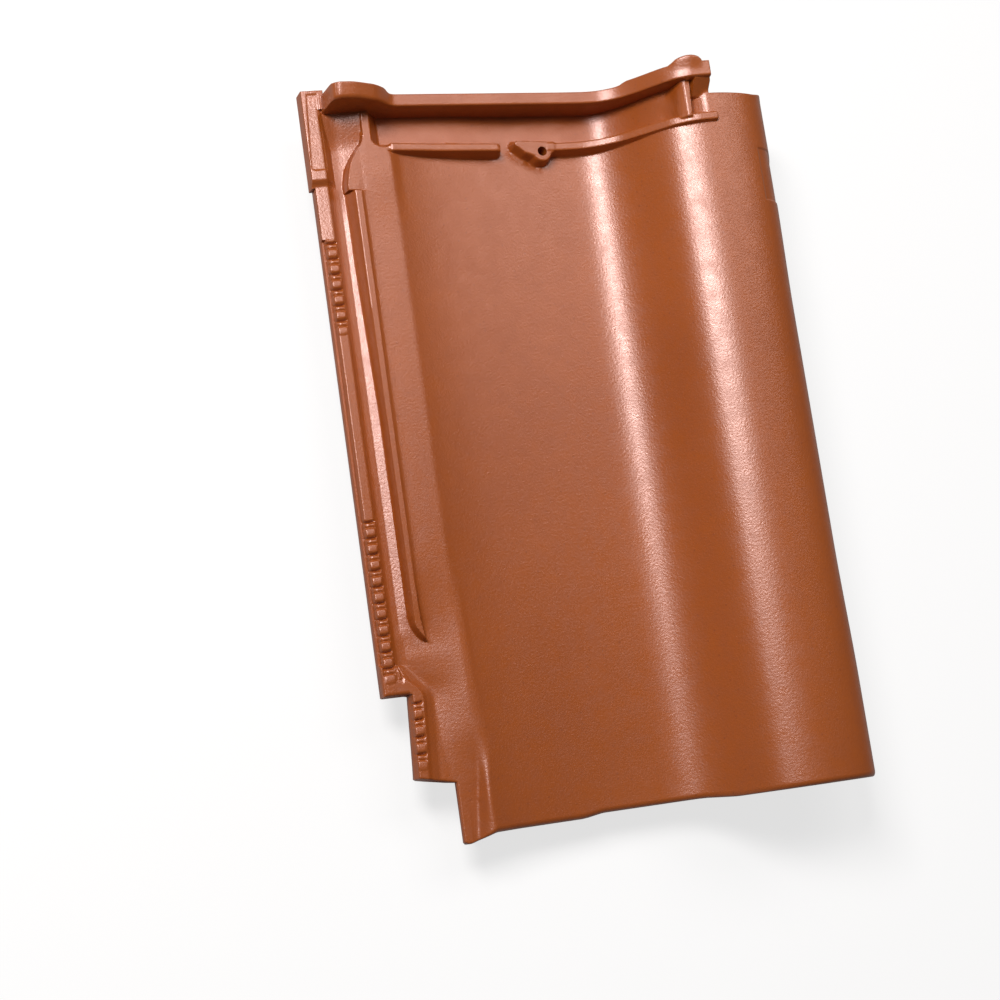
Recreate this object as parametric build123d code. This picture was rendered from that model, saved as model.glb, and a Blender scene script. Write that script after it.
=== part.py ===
from build123d import *
import os

os.makedirs("parts", exist_ok=True)

# Overall form. X runs across from the lock edge to the cover edge, distances down the tile are
# measured from the back of the head rib towards the foot, and Z is up from the floor.
tile_width = 252.0
tile_length = 368.0
clay = 11.5
nib_drop = 13.0

# Pan: a flat strip beside the lock, then the hollow; rises are above the lowest line of the pan
strip_start_x = 26.0
strip_end_x = 38.0
strip_rise = 11.0
strip_fall = 0.3
pan_low_in = 139.0

# Roll; stations are measured in from the cover edge
roll_foot_in = 99.0
roll_foot_rise = 4.2
rise_in = 77.0
rise_height = 26.0
rise_slope = 1.55
crown_in = 43.0
crown_rise = 46.5
flank_in = 14.5
flank_rise = 36.5
flank_slope = -1.75
edge_rise = 8.5
edge_slope = -2.3

# Side lock: flange, outer rib, channel and inner rib
lock_floor_z = 28.5
lock_clay = 10.0
flange_z = 25.5
flange_inset = 0.4
flange_end_x = 1.7
flange_bevel = 2.5
lock_join = 4.0
rib_a_start_x = 1.9
rib_a_end_x = 6.8
rib_a_top_z = 31.5
channel_start_x = 12.3
channel_head_x = 14.6
channel_end_x = 17.6
channel_settle = 160.0
rib_c_start_x = 19.4
rib_c_end_x = 22.4
land_z = 36.3
rib_c_fall = 0.4
valley_z = 34.2
valley_width = 1.4
rib_c_tip = 15.0
rib_c_start = 48.0
rib_c_foot_gap = 92.0

# Clip teeth along the outer rib; each run starts at a distance and has a number of teeth
tooth_pitch = 7.9
tooth_depth = 2.2
tooth_slot = 1.6
tooth_crease = 0.9
tooth_saddle_down = 2.6
tooth_crease_down = 3.7
tooth_end = 4.4
run_1_start = 73.0
run_1_count = 6
run_2_foot_gap = 155.0
run_2_count = 10
run_3_foot_gap = 66.0
run_3_count = 4

# Pad and basin at the head of the lock
pad_back = 5.0
hump_back = 1.5
pad_overhang = 1.6
pad_edge_z = 31.5
pad_edge_depth = 3.0
pad_top_z = 34.3
pad_end_x = 6.2
pad_head_end_x = 10.0
pad_length = 44.0
pad_ramp = 3.0
pad_recess = 0.8
pad_recess_edge = 1.3
pad_recess_foot_gap = 7.0
pad_recess_wall_down = 9.0
pad_recess_wall = 0.6
basin_end_x = 27.0
basin_turn_down = 20.0
basin_turn = 1.0
basin_bend_down = 28.0
basin_bend = 6.5
basin_foot_down = 43.0
basin_lean = 1.6
plain_end = 66.0
plain_edge_depth = 5.0

# Foot corner on the lock side, cut back in two steps
step_1_x = 13.6
step_1_taper = 1.9
step_1_bevel = 2.4
step_1_foot_gap = 71.0
step_2_x = 31.0
step_2_foot_gap = 30.3
step_2_slant = 5.0
corner_shift = 11.6
sunk_strip_start_x = 20.4
sunk_strip_end_x = 39.5
sunk_strip_length = 91.0
sunk_strip_ramp = 14.0
sunk_strip_ramp_drop = 5.4
sunk_strip_drop = 8.0
sunk_strip_level = 8.0
sunk_strip_step = 0.8
strip_overhang = 4.0
tongue_clay = 7.0
strip_overhang_end_x = 48.0
tongue_tip = 4.0
tongue_end = 0.5

# Head rib, head channel and lower rib
head_rib_width = 6.6
head_rib_rise = 15.7
head_rib_over_roll = 8.0
head_rib_side_rise = 0.7
head_rib_bend = 12.0
head_rib_bend_rise = 3.3
roll_overhang = 1.5
crown_lug_in = 66.0
crown_lug_end_in = 53.5
crown_lug_rise = 10.0
crown_lug_back = 4.5
head_rib_end_in = 48.5
hump_rise = 28.6
hump_peak_x = 14.5
hump_round = 2.0
hump_top_end_x = 26.5
hump_top_fall = 3.4
hump_end_x = 37.5
hump_end_rise = 5.6
hump_foot = 4.0
channel_width = 17.6
channel_floor_rise = 1.5
channel_roll_drop = 4.0
panel_start_x = 31.5
panel_slope_run = 6.0
panel_corner = 5.0
panel_end_gap = 8.0
channel_fade = 3.0
lower_rib_start_x = 37.0
lower_rib_width = 4.3
lower_rib_rise = 2.8
lower_rib_end_in = 46.5
lower_rib_fall = 5.0
lower_rib_end_rise = 1.3
lower_rib_step = 6.0
lower_rib_bend = 8.0
lower_rib_bend_rise = 5.0
flank_setback = 13.2
flank_setback_in = 22.0
edge_setback = 8.0
edge_setback_in = 2.0
post_width = 6.8
post_rise = 0.4
post_bevel = 1.4
post_bevel_depth = 1.6
post_in = 60.4
flank_recess_start = 31.0
flank_recess_end = 57.0
flank_recess_width = 6.5
flank_recess_depth = 1.0

# Nail hole with its boss and pointed lug on the lower rib
nail_radius = 2.5
nail_in = 128.5
nail_down = 28.6
boss_radius = 5.2
lug_reach = 15.7
lug_rise = 7.2
lug_shoulder = 9.5
lug_notch = 4.5
lug_front = 2.9
lug_notch_front = 2.6
lug_tip_back = 2.4
lug_back = 5.5
lug_heel = 7.2
lug_heel_front = 0.1
lug_heel_back = 4.4
lug_wall = 1.5
lug_pocket = 5.0
rib_gap = 7.5

# Nibs that hook over the batten, lips under the foot and the bar under the roll
nib_width = 34.0
nib_thickness = 16.0
nib_setback = 8.0
nib_draft = 2.5
left_nib_x = 60.0
right_nib_in = 100.0
foot_lip = 10.0
foot_lip_start_x = 44.0
foot_lip_end_in = 84.0
foot_lip_draft = 4.0
arch_lip = 4.0
arch_lip_gap = 4.0
bar_width = 7.0
bar_height = 12.0
bar_draft = 1.5
bar_in = 29.5
bar_head_gap = 8.0
join = 1.0

pan_z = nib_drop + clay
pan_low_x = tile_width - pan_low_in
roll_foot_x = tile_width - roll_foot_in
head_rib_end_x = tile_width - head_rib_end_in
lower_rib_end_x = tile_width - lower_rib_end_in
nail_x = tile_width - nail_in
lock_bottom_z = lock_floor_z - lock_clay
head_rib_z = pan_z + head_rib_rise
hump_z = pan_z + hump_rise
step_1_down = tile_length - step_1_foot_gap
step_2_down = tile_length - step_2_foot_gap
rib_c_end = tile_length - rib_c_foot_gap
lower_rib_down = head_rib_width + channel_width
lug_z = pan_z + lug_rise
above = pan_z + 2 * crown_rise


def section(points):
    """Face in the upright plane across the tile from a list of (x, z) corners."""
    return make_face(Polyline(*[(x, 0, z) for x, z in points], close=True))


def run(face, start, end):
    """Extrude a section face down the tile between two distances from the head."""
    return extrude(Pos(0, -start, 0) * face, end - start, dir=(0, -1, 0))


def plan(points, z):
    """Level face at one height from a list of (x, distance down the tile) corners."""
    return make_face(Polyline(*[(x, -down, z) for x, down in points], close=True))


def slab(points, bottom, top):
    """Upright block over a plan outline between two heights."""
    return extrude(plan(points, bottom), top - bottom, dir=(0, 0, 1))


def top_line():
    """Top line of the section, from the strip over the pan and the roll to the cover edge."""
    points = [
        (strip_start_x, pan_z + strip_rise),
        (strip_end_x, pan_z + strip_rise - strip_fall),
        (pan_low_x, pan_z),
        (roll_foot_x, pan_z + roll_foot_rise),
        (tile_width - rise_in, pan_z + rise_height),
        (tile_width - crown_in, pan_z + crown_rise),
        (tile_width - flank_in, pan_z + flank_rise),
        (tile_width, pan_z + edge_rise),
    ]
    slopes = [0, -0.1, 0, 0.32, rise_slope, 0, flank_slope, edge_slope]
    return Edge.make_spline(
        [Vector(x, 0, z) for x, z in points],
        tangents=[Vector(1, 0, slope) for slope in slopes],
    )


def at_x(line, x):
    """Parameter of a line where it crosses a given X."""
    low, high = 0.0, 1.0
    for _ in range(40):
        middle = (low + high) / 2
        if line.position_at(middle).X < x:
            low = middle
        else:
            high = middle
    return (low + high) / 2


def offset_line(line, depth, start_x, end_x, count=16):
    """Smooth line at a fixed depth below another one, measured square to it."""
    first, last = at_x(line, start_x), at_x(line, end_x)
    points = []
    for i in range(count + 1):
        t = first + (last - first) * i / count
        p = line.position_at(t)
        d = line.tangent_at(t)
        points.append(Vector(p.X + depth * d.Z, 0, p.Z - depth * d.X))
    return Edge.make_spline(points)


def band(line, above_line, below_line, start_x=strip_start_x, end_x=tile_width):
    """Face from a height above the top line to a depth below it between two stations."""
    upper = offset_line(line, -above_line, start_x, end_x)
    lower = offset_line(line, below_line, start_x, end_x)
    ends = [Edge.make_line(upper @ 0, lower @ 0), Edge.make_line(upper @ 1, lower @ 1)]
    return make_face([upper, lower] + ends)


def body(line):
    """Pan and roll of even thickness over the whole length."""
    return run(band(line, 0, clay), 0, tile_length)


def lock_base():
    """Floor of the side lock with its flange, joined to the strip of the pan."""
    return run(section([
        (flange_inset + flange_bevel, lock_bottom_z),
        (flange_inset, flange_z),
        (flange_end_x, flange_z),
        (flange_end_x, lock_floor_z),
        (strip_start_x, lock_floor_z),
        (strip_start_x, pan_z + strip_rise),
        (strip_end_x - lock_join, pan_z + strip_rise - strip_fall),
        (strip_end_x - lock_join, lock_bottom_z + flange_bevel),
        (strip_start_x - lock_join, lock_bottom_z),
    ]), 0, tile_length)


def outer_rib(start, end, shift=0.0):
    """Outer rib of the lock, which carries the clip teeth."""
    return run(section([
        (rib_a_start_x + shift, flange_z - join),
        (rib_a_start_x + shift, rib_a_top_z),
        (rib_a_end_x + shift, rib_a_top_z),
        (channel_start_x + shift, lock_floor_z),
        (channel_start_x + shift, flange_z - join),
    ]), start, end)


def plain_edge():
    """Outer rib without a flange between the pad and the first teeth."""
    return run(section([
        (flange_inset, lock_bottom_z + plain_edge_depth - join),
        (0, lock_bottom_z + plain_edge_depth),
        (flange_inset, rib_a_top_z),
        (rib_a_end_x, rib_a_top_z),
        (rib_a_end_x, lock_bottom_z + plain_edge_depth - join),
    ]), 0, plain_end)


def inner_rib_face(foot_x, down):
    """Section of the inner rib at one place; its left foot shifts along the tile."""
    return Pos(0, -down, 0) * section([
        (foot_x, lock_floor_z - join),
        (foot_x, lock_floor_z),
        (rib_c_start_x, land_z),
        (rib_c_end_x, land_z - rib_c_fall),
        (rib_c_end_x + valley_width, valley_z),
        (strip_start_x + join, pan_z + strip_rise),
        (strip_start_x + join, lock_floor_z - join),
    ])


def inner_rib():
    """Inner rib between the lock channel and the pan, ending in a tapered tip."""
    spread = loft([
        inner_rib_face(channel_head_x, rib_c_start - join),
        inner_rib_face(channel_end_x, channel_settle),
    ])
    start = rib_c_end - rib_c_tip
    length = start + join - channel_settle
    straight = extrude(inner_rib_face(channel_end_x, channel_settle), length, dir=(0, -1, 0))
    tip = loft([
        plan([(channel_end_x, start), (strip_start_x, start), (strip_start_x, rib_c_end),
              (rib_c_end_x, rib_c_end), (rib_c_start_x, rib_c_end - rib_c_tip / 2)],
             lock_floor_z - join),
        plan([(rib_c_start_x, start), (rib_c_end_x, start),
              (rib_c_end_x + join, rib_c_end - rib_c_tip / 2),
              (rib_c_end_x, rib_c_end - rib_c_tip / 3),
              (rib_c_start_x + join, rib_c_end - rib_c_tip * 2 / 3)], land_z),
    ])
    return spread + straight + tip


def plateau():
    """Flat land beside the basin at the head of the pan."""
    return run(section([
        (channel_head_x - join, lock_floor_z - join),
        (channel_head_x - join, land_z),
        (panel_start_x, land_z),
        (strip_end_x, pan_z + strip_rise - strip_fall),
        (strip_end_x, lock_floor_z - join),
    ]), 0, rib_c_start)


def basin_outline(z, lean):
    """Plan outline of the basin at one height; the lean moves its S-shaped side outwards."""
    side = Spline(
        (basin_end_x, -head_rib_width, z),
        (basin_end_x - basin_turn + lean / 2, -basin_turn_down, z),
        (basin_end_x - basin_bend + lean / 2, -basin_bend_down, z),
        (channel_head_x + lean, -basin_foot_down, z),
        (channel_head_x + lean, -rib_c_start - join, z),
        tangents=[(0, -1, 0), (-0.25, -1, 0), (-1, -1, 0), (-0.1, -1, 0), (0, -1, 0)],
    )
    rest = Polyline(
        side @ 1,
        (rib_a_end_x, -rib_c_start - join, z),
        (rib_a_end_x, -head_rib_width, z),
        side @ 0,
    )
    return make_face([*side.edges(), *rest.edges()])


def basin():
    """Wide head of the lock channel with its S-shaped side, cut from the plateau."""
    height = land_z - lock_floor_z
    return loft([
        basin_outline(lock_floor_z, 0),
        basin_outline(land_z + height, 2 * basin_lean),
    ])


def pad():
    """Raised landing at the head of the outer rib, ramped at its foot end and recessed."""
    corners = [
        (flange_inset, pad_edge_z - 2 * pad_edge_depth),
        (-pad_overhang, pad_edge_z - pad_edge_depth),
        (-pad_overhang, pad_edge_z),
        (pad_end_x, pad_top_z),
        (channel_start_x, lock_floor_z),
        (channel_start_x, pad_edge_z - 2 * pad_edge_depth),
    ]
    block = run(section(corners), -pad_back, pad_length)
    head = run(section([
        (flange_inset + flange_bevel, lock_bottom_z),
        (0, pad_edge_z),
        (pad_head_end_x, pad_top_z),
        (hump_peak_x, lock_bottom_z),
    ]), -pad_back, head_rib_width - join)
    ramp = Polyline(
        (-pad_overhang, -pad_length, pad_top_z),
        (-pad_overhang, -pad_length, rib_a_top_z),
        (-pad_overhang, -pad_length + pad_ramp, pad_top_z),
        close=True,
    )
    block -= extrude(make_face(ramp), pad_end_x + pad_overhang + join, dir=(1, 0, 0))
    left = pad_recess_edge - pad_overhang
    foot = pad_length - pad_recess_foot_gap
    panel = slab([
        (left, 0),
        (pad_end_x - pad_recess_wall, 0),
        (pad_end_x - pad_recess_wall, pad_recess_wall_down),
        (pad_end_x + join, pad_recess_wall_down),
        (pad_end_x + join, foot),
        (left + pad_recess_edge, foot + pad_recess_edge),
        (left, foot),
    ], 0, pad_top_z)
    floor = run(section([
        (-pad_overhang, pad_edge_z - pad_recess),
        (pad_end_x + join, pad_top_z - pad_recess),
        (pad_end_x + join, pad_top_z + join),
        (-pad_overhang, pad_top_z + join),
    ]), -pad_back, pad_length)
    return block + head - (panel & floor)


def head_rib(line):
    """Rib along the head, with a hump over the basin and a run over the roll."""
    hump = run(section([
        (pad_head_end_x - join, lock_bottom_z + join),
        (pad_head_end_x - join, pad_top_z - join),
        (hump_peak_x - join, hump_z - hump_round),
        (hump_peak_x + join, hump_z),
        (hump_top_end_x, hump_z - hump_top_fall),
        (hump_end_x, head_rib_z + hump_end_rise),
        (hump_end_x + hump_foot, head_rib_z),
        (hump_end_x + hump_foot, pan_z - join),
        (strip_start_x - hump_foot, lock_bottom_z + join),
    ]), -hump_back, head_rib_width)
    flat = run(section([
        (hump_end_x, pan_z),
        (hump_end_x, head_rib_z),
        (roll_foot_x, head_rib_z + head_rib_side_rise),
        (roll_foot_x + head_rib_bend, head_rib_z + head_rib_bend_rise),
        (roll_foot_x + head_rib_bend, pan_z),
        (pan_low_x, pan_z - clay / 4),
    ]), 0, head_rib_width)
    over = run(band(line, head_rib_over_roll, clay - join, roll_foot_x + panel_end_gap,
                    head_rib_end_x), -roll_overhang, head_rib_width)
    lug = run(band(line, crown_lug_rise, clay - 3 * join, tile_width - crown_lug_in,
                   tile_width - crown_lug_end_in), -crown_lug_back, join)
    return hump + flat + over + lug


def head_channel(line):
    """Sunk panel between the head rib and the lower rib, cut across pan and roll."""
    floor = pan_z + channel_floor_rise
    end = roll_foot_x - panel_end_gap
    panel = loft([
        plan([
            (panel_start_x + panel_slope_run, head_rib_width),
            (end, head_rib_width),
            (end, lower_rib_down),
            (panel_start_x + panel_slope_run + panel_corner, lower_rib_down),
            (panel_start_x + panel_slope_run, lower_rib_down - panel_corner),
        ], floor),
        plan([
            (panel_start_x - panel_slope_run, head_rib_width),
            (end, head_rib_width),
            (end, lower_rib_down),
            (panel_start_x - panel_slope_run + panel_corner, lower_rib_down),
            (panel_start_x - panel_slope_run, lower_rib_down - panel_corner),
        ], 2 * land_z - floor),
    ])
    post_x = tile_width - post_in
    over = run(band(line, clay, channel_roll_drop, end - join, post_x),
               head_rib_width, lower_rib_down)
    low = line.position_at(at_x(line, post_x))
    high = line.position_at(at_x(line, head_rib_end_x + channel_fade))
    fade = run(section([
        (low.X, low.Z - channel_roll_drop),
        (high.X, high.Z),
        (high.X, high.Z + clay),
        (low.X, high.Z + clay),
    ]), head_rib_width, lower_rib_down)
    return panel + over + fade


def lower_rib(line):
    """Low rib that closes the head channel, in two lengths either side of the nail lug."""
    end = lower_rib_down + lower_rib_width
    left = run(section([
        (lower_rib_start_x, pan_z),
        (lower_rib_start_x, land_z),
        (nail_x - lug_reach - rib_gap, land_z - lower_rib_fall + lower_rib_end_rise),
        (nail_x - lug_reach - rib_gap, pan_z - clay / 4),
    ]), lower_rib_down, end)
    right = run(section([
        (nail_x + boss_radius, pan_z - clay / 4),
        (nail_x + boss_radius, lug_z),
        (roll_foot_x - lower_rib_step, lug_z + head_rib_side_rise),
        (roll_foot_x + lower_rib_bend, lug_z + lower_rib_bend_rise),
        (roll_foot_x + lower_rib_bend, pan_z),
    ]), lower_rib_down, end)
    over = run(band(line, lower_rib_rise, clay / 2, roll_foot_x, lower_rib_end_x),
               lower_rib_down, end)
    return left + right + over


def nail_lug():
    """Pointed lug with a round boss around the nail hole."""
    arrow = slab([
        (nail_x - lug_reach, nail_down - lug_tip_back),
        (nail_x - lug_shoulder, nail_down + lug_front),
        (nail_x - lug_notch, nail_down + lug_notch_front),
        (nail_x + lug_heel, nail_down - lug_heel_front),
        (nail_x + lug_heel, nail_down - lug_heel_back),
        (nail_x - lug_shoulder, nail_down - lug_back),
    ], pan_z - clay / 2, lug_z)
    pocket = slab([
        (nail_x - lug_reach + lug_wall, nail_down - lug_tip_back),
        (nail_x - lug_shoulder, nail_down + lug_front - lug_wall),
        (nail_x - lug_notch, nail_down + lug_notch_front - lug_wall),
        (nail_x - lug_notch, nail_down - lug_wall),
        (nail_x - lug_shoulder, nail_down - lug_back + lug_wall),
    ], lug_z - lug_pocket, lug_z + join)
    boss = Pos(nail_x, -nail_down, (pan_z - clay / 2 + lug_z) / 2) * Cylinder(
        boss_radius, lug_z - pan_z + clay / 2)
    return arrow - pocket + boss


def post():
    """Short lengthwise rib that joins the head rib to the lower rib on the roll."""
    x = tile_width - post_in
    top = pan_z + crown_rise
    return run(section([
        (x - post_width / 2, top - clay),
        (x - post_width / 2, top + post_rise - post_bevel_depth),
        (x - post_width / 2 + post_bevel, top + post_rise),
        (x + post_width / 2, top + post_rise),
        (x + post_width / 2, top - clay),
    ]), head_rib_width - join, lower_rib_down + join)


def corner_steps():
    """Blocks that cut the foot corner back in two steps; the first leaves a bevelled edge."""
    left = -2 * pad_overhang

    def first_face(x, down):
        return Pos(0, -down, 0) * section([
            (left, 0),
            (x + step_1_bevel, 0),
            (x + step_1_bevel, lock_bottom_z),
            (x, flange_z),
            (x, above),
            (left, above),
        ])

    first = loft([
        first_face(step_1_x, step_1_down),
        first_face(step_1_x - step_1_taper, step_2_down + join),
    ])
    second = slab([(left, step_2_down), (step_1_x, step_2_down),
                   (step_2_x, step_2_down + step_2_slant), (step_2_x + join, 2 * tile_length),
                   (left, 2 * tile_length)], 0, above)
    return first, second


def head_setback():
    """Block that sets the head of the cover edge back for the neighbouring tile."""
    return slab([
        (head_rib_end_x, -2 * crown_lug_back),
        (head_rib_end_x, flank_setback),
        (tile_width - flank_setback_in, flank_setback),
        (tile_width - edge_setback_in, edge_setback),
        (tile_width + join, edge_setback - edge_setback_in),
        (tile_width + join, -2 * crown_lug_back),
    ], 0, above)


def flank_recess(line):
    """Shallow recess along the cover edge near the head."""
    face = band(line, clay, flank_recess_depth, tile_width - flank_recess_width, tile_width)
    return run(face, flank_recess_start, flank_recess_end)


def sunk_strip():
    """Cutter that lowers the strip beside the foot corner, with a sloped side to the pan."""
    start = tile_length - sunk_strip_length
    top = pan_z + strip_rise + join
    low = pan_z + strip_rise - sunk_strip_drop
    left = sunk_strip_start_x
    wedge = Polyline(
        (left, -start, top),
        (left, -tile_length - strip_overhang, top),
        (left, -tile_length - strip_overhang, low),
        (left, -tile_length + sunk_strip_level, low),
        (left, -start - sunk_strip_ramp, top - sunk_strip_ramp_drop),
        (left, -start, top - sunk_strip_step),
        close=True,
    )
    lengthwise = extrude(make_face(wedge), strip_overhang_end_x - left, dir=(1, 0, 0))
    across = run(section([
        (left, 0),
        (sunk_strip_end_x, 0),
        (sunk_strip_end_x, low),
        (sunk_strip_end_x + sunk_strip_drop, top),
        (left, top),
    ]), start, tile_length + 2 * strip_overhang)
    return lengthwise & across


def foot_corner():
    """Tongue of clay at the end of the sunk strip that reaches past the foot edge."""
    low = pan_z + strip_rise - sunk_strip_drop
    return slab([
        (step_2_x + join, tile_length - foot_lip),
        (step_2_x + join, tile_length + strip_overhang),
        (step_2_x + tongue_tip, tile_length + strip_overhang),
        (strip_overhang_end_x, tile_length + tongue_end),
        (strip_overhang_end_x, tile_length - foot_lip),
    ], low - tongue_clay, low)


def nib(x):
    """Nib under the head that hooks over the batten."""
    half = nib_width / 2
    return run(section([
        (x - half, 0),
        (x + half, 0),
        (x + half + nib_draft, nib_drop + clay / 2),
        (x - half - nib_draft, nib_drop + clay / 2),
    ]), nib_setback, nib_setback + nib_thickness)


def foot_lips(line):
    """Deep lip under the foot of the pan, and a thicker edge around the roll."""
    pan_lip = run(section([
        (foot_lip_start_x, 0),
        (tile_width - foot_lip_end_in, 0),
        (tile_width - foot_lip_end_in + foot_lip_draft, pan_z + roll_foot_rise),
        (pan_low_x, pan_z - clay / 2),
        (foot_lip_start_x - foot_lip_draft, pan_z + strip_rise - clay),
    ]), tile_length - foot_lip, tile_length)
    arch = run(band(line, -clay / 2, clay + arch_lip, roll_foot_x,
                    tile_width - arch_lip_gap),
               tile_length - foot_lip, tile_length)
    return pan_lip + arch


def weather_bar():
    """Bar that hangs under the roll and dips into the lock of the neighbouring tile."""
    top = pan_z + crown_rise - clay
    left = tile_width - bar_in
    return run(section([
        (left, top + 2 * join),
        (left + bar_width, top),
        (left + bar_width - bar_draft, top - bar_height),
        (left + bar_draft, top - bar_height),
    ]), flank_setback + bar_head_gap, tile_length - foot_lip)


def tooth_cuts(start, count, shift=0.0):
    """Slots along the outer rib where a storm clip grips, each with a shallow crease."""
    top = rib_a_top_z + tooth_crease / 8
    left = rib_a_start_x - join + shift
    cuts = []
    for i in range(count):
        y = -start - i * tooth_pitch
        outline = Polyline(
            (left, y, top),
            (left, y - tooth_slot / 3, top - tooth_depth),
            (left, y - tooth_slot, top - tooth_crease),
            (left, y - tooth_saddle_down, top - tooth_crease / 2),
            (left, y - tooth_crease_down, top - tooth_crease),
            (left, y - tooth_end, top),
            close=True,
        )
        cuts.append(extrude(make_face(outline), rib_a_end_x - left + shift + join, dir=(1, 0, 0)))
    return cuts


line = top_line()
step_1, step_2 = corner_steps()
tile = body(line) + lock_base() + plateau() + plain_edge()
tile -= basin()
tile += outer_rib(plain_end - join, step_1_down)
tile += inner_rib()
tile -= sunk_strip()
tile += foot_lips(line) - sunk_strip()
tile += foot_corner()
tile -= head_channel(line)
tile += pad()
tile += head_rib(line)
tile += lower_rib(line)
tile += nail_lug()
tile += post()
tile -= head_setback()
tile -= step_1
tile += outer_rib(step_1_down, step_2_down, shift=corner_shift)
tile -= step_2
tile -= flank_recess(line)
for cut in tooth_cuts(run_1_start, run_1_count):
    tile -= cut
for cut in tooth_cuts(tile_length - run_2_foot_gap, run_2_count):
    tile -= cut
for cut in tooth_cuts(tile_length - run_3_foot_gap, run_3_count, shift=corner_shift):
    tile -= cut
tile += nib(left_nib_x)
tile += nib(tile_width - right_nib_in)
tile += weather_bar()
tile -= Pos(nail_x, -nail_down, pan_z) * Cylinder(nail_radius, 4 * clay)
centre_x = (tile_width - pad_overhang) / 2
centre_down = (tile_length + strip_overhang - pad_back) / 2
tile = Pos(-centre_x, centre_down, 0) * tile
tile.label = "roof_tile"
export_step(tile, "parts/roof_tile.step")
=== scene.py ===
"""Looks of the clay roof tile: its pressed surface, satin engobe, floor, lamps and camera."""
import logging
import math
from collections.abc import Iterable
from dataclasses import dataclass, field
from enum import Enum

import bmesh
import bpy
import numpy as np
from mathutils import Matrix, Vector


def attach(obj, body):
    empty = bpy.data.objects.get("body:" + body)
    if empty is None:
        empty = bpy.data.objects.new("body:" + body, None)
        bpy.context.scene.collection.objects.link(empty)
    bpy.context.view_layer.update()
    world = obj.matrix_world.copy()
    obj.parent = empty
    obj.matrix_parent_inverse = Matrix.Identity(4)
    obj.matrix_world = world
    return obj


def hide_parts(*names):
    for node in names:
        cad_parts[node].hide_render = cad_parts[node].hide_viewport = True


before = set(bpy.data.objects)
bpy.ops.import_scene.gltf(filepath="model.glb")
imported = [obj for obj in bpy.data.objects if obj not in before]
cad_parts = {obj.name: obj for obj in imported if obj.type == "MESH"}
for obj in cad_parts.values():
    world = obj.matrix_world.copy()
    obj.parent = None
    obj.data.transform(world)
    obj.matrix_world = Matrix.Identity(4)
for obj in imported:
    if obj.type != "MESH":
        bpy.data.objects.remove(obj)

log = logging.getLogger("roof_tile")

MM = 0.001

Pair = tuple[float, float]
Triple = tuple[float, float, float]
Colour = tuple[float, float, float, float]
Grid = np.ndarray


# Numbers and curves

def ease(start: float, end: float, value: Grid) -> Grid:
    """Smooth step from 0 at start to 1 at end: 3t^2 - 2t^3 of the share t that is passed.

    Args:
        start: where the step begins.
        end: where it has ended.
        value: places to work it out at.

    Returns:
        The step's height at each place.
    """
    share = np.clip((value - start) / (end - start), 0.0, 1.0)
    return share * share * (3.0 - 2.0 * share)


def join_max(one: Grid, other: Grid, radius: float) -> Grid:
    """Higher of two heights, with a fillet where they meet.

    The fillet adds (r - |a - b|)^2 / 4r where the two differ by less than r.

    Args:
        one: first height.
        other: second height.
        radius: height difference over which the fillet reaches.

    Returns:
        The joined height.
    """
    near = np.maximum(radius - np.abs(one - other), 0.0)
    return np.maximum(one, other) + near * near / (4.0 * radius)


def join_min(one: Grid, other: Grid, radius: float) -> Grid:
    """Lower of two heights, with a rounded edge where they meet; see join_max."""
    return -join_max(-one, -other, radius)


def raised(inside: Grid, top: Grid | float, radius: float, fall: float) -> Grid:
    """Height of a raised form with a rounded edge and a steep wall.

    Inside the edge the top drops by r - sqrt(r^2 - (r - s)^2) over the radius r, and outside
    it the wall falls by a set height for each millimetre.

    Args:
        inside: distance s inside the form's edge, negative outside.
        top: height of the form.
        radius: radius of the rounded edge.
        fall: height lost for each millimetre outside the edge.

    Returns:
        The form's height.
    """
    short = np.clip(radius - inside, 0.0, radius)
    return top - radius + np.sqrt(radius * radius - short * short) + fall * np.minimum(inside, 0.0)


def in_box(x: Grid, down: Grid, span_x: Pair,
           span_down: Pair, corner: float = 0.0) -> Grid:
    """Distance inside a rectangle with round corners, negative outside.

    Args:
        x: places across the tile.
        down: places down the tile.
        span_x: sides of the rectangle across.
        span_down: its sides down the tile.
        corner: radius of its corners.

    Returns:
        The signed distance at each place.
    """
    far_x = np.abs(x - sum(span_x) / 2) - (span_x[1] - span_x[0]) / 2 + corner
    far_down = np.abs(down - sum(span_down) / 2) - (span_down[1] - span_down[0]) / 2 + corner
    outside = np.hypot(np.maximum(far_x, 0.0), np.maximum(far_down, 0.0))
    return corner - outside - np.minimum(np.maximum(far_x, far_down), 0.0)


def in_outline(x: Grid, down: Grid, corners: list[Pair]) -> Grid:
    """Distance inside a closed outline, negative outside.

    The distance is the least over the sides, and a place is inside where a line from it
    crosses the sides an odd number of times.

    Args:
        x: places across the tile.
        down: places down the tile.
        corners: corners of the outline in order.

    Returns:
        The signed distance at each place.
    """
    least = np.full(np.broadcast(x, down).shape, np.inf)
    odd = np.zeros(least.shape, dtype=bool)
    for (ax, ad), (bx, bd) in zip(corners, corners[1:] + corners[:1]):
        run_x, run_d = bx - ax, bd - ad
        share = ((x - ax) * run_x + (down - ad) * run_d) / (run_x ** 2 + run_d ** 2)
        share = np.clip(share, 0.0, 1.0)
        least = np.minimum(least, np.hypot(x - ax - share * run_x, down - ad - share * run_d))
        if run_d:
            crosses = ((ad > down) != (bd > down)) & (x < ax + (down - ad) * run_x / run_d)
            odd ^= crosses
    return np.where(odd, least, -least)


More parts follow.
